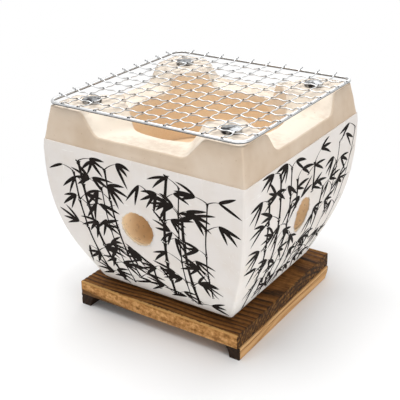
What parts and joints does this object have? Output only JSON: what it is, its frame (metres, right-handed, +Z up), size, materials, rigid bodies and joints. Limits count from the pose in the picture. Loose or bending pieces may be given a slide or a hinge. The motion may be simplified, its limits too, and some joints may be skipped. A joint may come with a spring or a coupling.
{
  "type": "tabletop konro grill",
  "caption": "Square tabletop charcoal grill: flared clay stove with a scooped rim and paper wrap, pierced clay grate, woven wire net on domed studs, and a wooden board stand.",
  "frame": {"origin": "on the table, under the middle of the stove: bottom centre of the whole part", "axes": "+Z up, -Y towards the front side with its air hole, +X to the right; the battens run along Y"},
  "size_m": [0.1508, 0.1508, 0.151],
  "materials": {
    "stove_clay": "matt fired clay",
    "grate_clay": "rough fired clay",
    "wrap_paper": "fibrous, matt",
    "stud_steel": "polished",
    "net_steel": "bright drawn wire",
    "board_wood": "scorched and brushed",
    "batten_wood": "stained, satin",
    "nail_steel": "plain wire nail"
  },
  "bodies": {
    "stand": {"stand_board": "board_wood", "batten_left": "batten_wood", "batten_right": "batten_wood", "batten_nails": "nail_steel"},
    "stove": {"stove_body": "stove_clay", "paper_front": "wrap_paper", "paper_right": "wrap_paper", "paper_rear": "wrap_paper", "paper_left": "wrap_paper", "stud_front_left": "stud_steel", "stud_front_right": "stud_steel", "stud_rear_right": "stud_steel", "stud_rear_left": "stud_steel"},
    "grate": {"charcoal_grate": "grate_clay"},
    "net": {"net_frame": "net_steel", "net_cross_wire_1": "net_steel", "net_cross_wire_2": "net_steel", "net_cross_wire_3": "net_steel", "net_cross_wire_4": "net_steel", "net_cross_wire_5": "net_steel", "net_cross_wire_6": "net_steel", "net_cross_wire_7": "net_steel", "net_cross_wire_8": "net_steel", "net_cross_wire_9": "net_steel", "net_cross_wire_10": "net_steel", "net_long_wire_1": "net_steel", "net_long_wire_2": "net_steel", "net_long_wire_3": "net_steel", "net_long_wire_4": "net_steel", "net_long_wire_5": "net_steel", "net_long_wire_6": "net_steel", "net_long_wire_7": "net_steel", "net_long_wire_8": "net_steel", "net_long_wire_9": "net_steel", "net_long_wire_10": "net_steel"}
  },
  "joints": [
    {"name": "stove_lift", "type": "slide", "parent": "stand", "child": "stove", "axis": [0, 0, 1], "range_m": [0, 0.12]},
    {"name": "grate_lift", "type": "slide", "parent": "stove", "child": "grate", "axis": [0, 0, 1], "range_m": [0, 0.045]},
    {"name": "net_lift", "type": "slide", "parent": "stove", "child": "net", "axis": [0, 0, 1], "range_m": [0, 0.08]}
  ]
}
